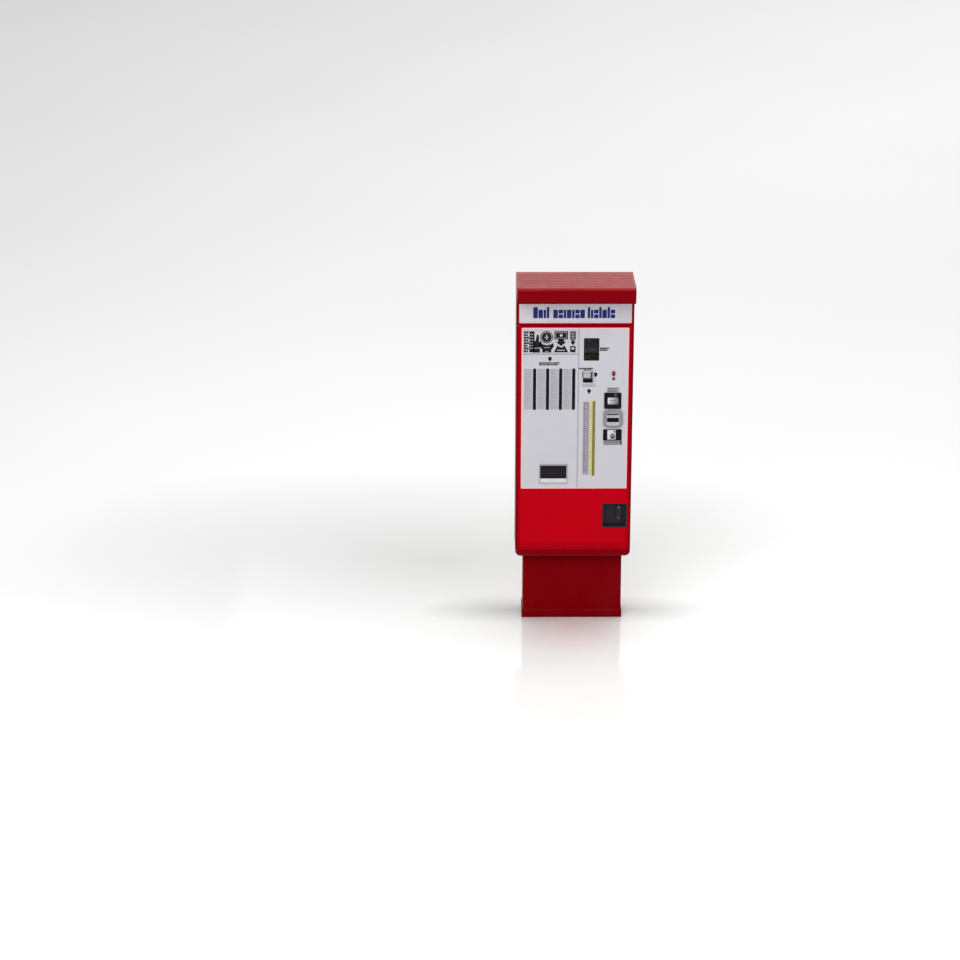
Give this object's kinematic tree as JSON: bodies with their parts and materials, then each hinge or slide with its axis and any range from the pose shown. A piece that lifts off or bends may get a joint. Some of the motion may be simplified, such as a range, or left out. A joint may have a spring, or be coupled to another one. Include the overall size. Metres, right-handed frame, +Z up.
{
  "type": "ticket vending machine",
  "caption": "Free-standing ticket machine: steel cabinet on a plinth with a hooded lit sign, hinged service door, key strips, payment slots, ticket tray and recessed lock handle.",
  "frame": {"origin": "on the floor, under the middle of the overall width and depth with the door shut", "axes": "+Z up; -Y is the side with the door and sign; +X is to the right of a customer who faces the machine"},
  "size_m": [0.6, 0.364, 1.873],
  "materials": {
    "door_red": "gloss powder coat",
    "casing_red": "gloss powder coat",
    "fascia_grey": "satin",
    "insert_print": "satin laminate",
    "key_black": "satin",
    "key_yellow": "satin",
    "sign_diffuser": "opal",
    "lamp_glass": "gloss",
    "display_glass": "gloss",
    "black_plastic": "fine grain",
    "grey_plastic": "fine grain",
    "red_plastic": "gloss",
    "lens_dark": "gloss",
    "galvanised": "spangled zinc",
    "steel": "brushed",
    "chrome": "polished",
    "brass": "satin",
    "cast_zinc": "satin",
    "tray_metal": "brushed",
    "smoke_plastic": "smoked",
    "rubber": "matt",
    "paper": "matt",
    "circuit_green": "satin"
  },
  "bodies": {
    "cabinet": {"base_plate": "casing_red", "plinth_shell": "casing_red", "plinth_front_cover": "casing_red", "side_panel_left": "casing_red", "side_panel_right": "casing_red", "back_panel": "casing_red", "back_panel_screws": "steel", "floor_and_roof": "galvanised", "hood_cover": "casing_red", "header_frame": "door_red", "sign_panel": "sign_diffuser", "sign_lamp": "lamp_glass", "bottom_sill": "casing_red", "door_stop_rails": "galvanised", "door_seal": "rubber", "hinge_pins": "steel", "printer_chassis": "steel", "printer_motor": "black_plastic", "roll_spindle": "grey_plastic", "delivery_slides": "steel", "cash_box": "steel", "power_supply": "galvanised", "controller_box": "black_plastic", "fan_frame": "black_plastic", "hopper_housing_left": "grey_plastic", "hopper_housing_right": "grey_plastic"},
    "door": {"door_skin": "door_red", "selection_fascia": "fascia_grey", "payment_fascia": "fascia_grey", "printed_inserts": "insert_print", "destination_key_strips": "key_black", "ticket_type_keys": "key_yellow", "key_modules": "circuit_green", "display_window": "display_glass", "display_module": "black_plastic", "card_reader": "grey_plastic", "coin_entry": "black_plastic", "coin_validator": "black_plastic", "note_bezel": "grey_plastic", "note_acceptor": "black_plastic", "return_surround": "black_plastic", "status_lamp": "lens_dark", "tray_cup": "tray_metal", "lock_dish": "black_plastic", "lock_case": "galvanised"},
    "flap": {"tray_flap": "smoke_plastic"},
    "handle": {"lock_handle": "cast_zinc", "lock_spindle": "steel"},
    "key_barrel": {"lock_cylinder": "brass"},
    "upper_rod": {"lock_rod_upper": "steel"},
    "lower_rod": {"lock_rod_lower": "steel"},
    "cancel_key": {"cancel_button": "red_plastic"},
    "return_key": {"coin_return_button": "grey_plastic"},
    "platen": {"platen_roller": "rubber"},
    "drive": {"drive_gear": "brass"},
    "roll": {"ticket_roll": "paper"},
    "left_disc": {"hopper_disc_left": "brass"},
    "right_disc": {"hopper_disc_right": "brass"},
    "fan": {"fan_rotor": "black_plastic"},
    "bail": {"cash_box_handle": "chrome"}
  },
  "joints": [
    {"name": "door_hinge", "type": "hinge", "parent": "cabinet", "child": "door", "pos_m": [-0.289, -0.025, 1], "axis": [0, 0, -1], "range_deg": [0, 110]},
    {"name": "flap_hinge", "type": "hinge", "parent": "door", "child": "flap", "pos_m": [-0.1055, -0.03275, 0.87], "axis": [1, 0, 0], "range_deg": [0, 65]},
    {"name": "handle_turn", "type": "hinge", "parent": "door", "child": "handle", "pos_m": [0.237, -0.02, 0.58], "axis": [0, -1, 0], "range_deg": [0, 90]},
    {"name": "key_turn", "type": "hinge", "parent": "handle", "child": "key_barrel", "pos_m": [0.237, -0.03, 0.64], "axis": [0, 1, 0], "range_deg": [0, 90]},
    {"name": "upper_rod_slide", "type": "slide", "parent": "door", "child": "upper_rod", "axis": [0, 0, 1], "range_m": [0, 0.016]},
    {"name": "lower_rod_slide", "type": "slide", "parent": "door", "child": "lower_rod", "axis": [0, 0, -1], "range_m": [0, 0.016]},
    {"name": "cancel_press", "type": "slide", "parent": "door", "child": "cancel_key", "axis": [0, 1, 0], "range_m": [0, 0.003], "stiffness_N_per_m": 900, "springref_m": -0.001},
    {"name": "return_press", "type": "slide", "parent": "door", "child": "return_key", "axis": [0, 1, 0], "range_m": [0, 0.004], "stiffness_N_per_m": 900, "springref_m": -0.001},
    {"name": "platen_turn", "type": "hinge", "parent": "cabinet", "child": "platen", "pos_m": [-0.115, 0.094, 0.985], "axis": [1, 0, 0], "continuous": true},
    {"name": "drive_turn", "type": "hinge", "parent": "cabinet", "child": "drive", "pos_m": [-0.035, 0.126, 0.985], "axis": [1, 0, 0], "continuous": true},
    {"name": "roll_turn", "type": "hinge", "parent": "cabinet", "child": "roll", "pos_m": [-0.115, 0.112, 1.15], "axis": [1, 0, 0], "continuous": true},
    {"name": "left_disc_turn", "type": "hinge", "parent": "cabinet", "child": "left_disc", "pos_m": [0.0875, 0.117, 0.98], "axis": [0, 0, 1], "continuous": true},
    {"name": "right_disc_turn", "type": "hinge", "parent": "cabinet", "child": "right_disc", "pos_m": [0.1975, 0.117, 0.98], "axis": [0, 0, 1], "continuous": true},
    {"name": "fan_turn", "type": "hinge", "parent": "cabinet", "child": "fan", "pos_m": [0.15, 0.166, 1.5], "axis": [0, 1, 0], "continuous": true},
    {"name": "bail_swing", "type": "hinge", "parent": "cabinet", "child": "bail", "pos_m": [0.165, 0.074, 0.57], "axis": [-1, 0, 0], "range_deg": [0, 100]}
  ],
  "couplings": [
    {"joint": "upper_rod_slide", "follows": "handle_turn", "m_per_rad": 0.01},
    {"joint": "lower_rod_slide", "follows": "handle_turn", "m_per_rad": 0.01},
    {"joint": "drive_turn", "follows": "platen_turn", "ratio": -3}
  ]
}
